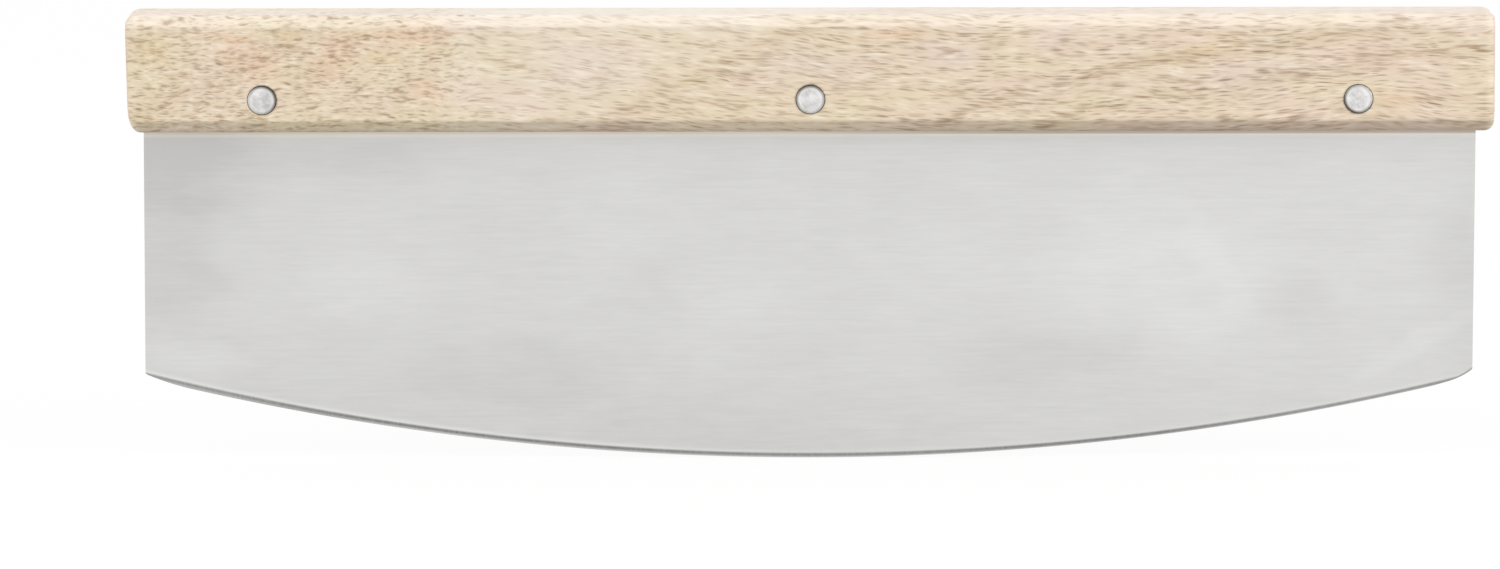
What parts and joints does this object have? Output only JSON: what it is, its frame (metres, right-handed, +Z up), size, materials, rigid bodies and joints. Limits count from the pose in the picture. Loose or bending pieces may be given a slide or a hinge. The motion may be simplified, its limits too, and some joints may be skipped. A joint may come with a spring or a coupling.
{
  "type": "rocking pizza knife",
  "caption": "Wide rocking pizza knife: a flat steel blade with a gently curved cutting edge, riveted into a saw kerf along the underside of a straight wooden bar handle.",
  "frame": {"origin": "lowest point of the cutting edge, in the middle of the blade's thickness", "axes": "+X along the blade, +Z up from the cutting edge to the handle, +Y from the front face to the back, so the front faces -Y"},
  "size_m": [0.3302, 0.025, 0.1088],
  "materials": {
    "handle_wood": "pale straight-grained hardwood, fine sanded and left matt",
    "blade_steel": "stainless sheet with a fine lengthwise brushing",
    "rivet_steel": "flat heads, faced smooth"
  },
  "bodies": {
    "root": {"handle": "handle_wood", "blade": "blade_steel", "left_rivet_stud": "rivet_steel", "left_rivet_tube": "rivet_steel", "middle_rivet_stud": "rivet_steel", "middle_rivet_tube": "rivet_steel", "right_rivet_stud": "rivet_steel", "right_rivet_tube": "rivet_steel"}
  },
  "joints": []
}
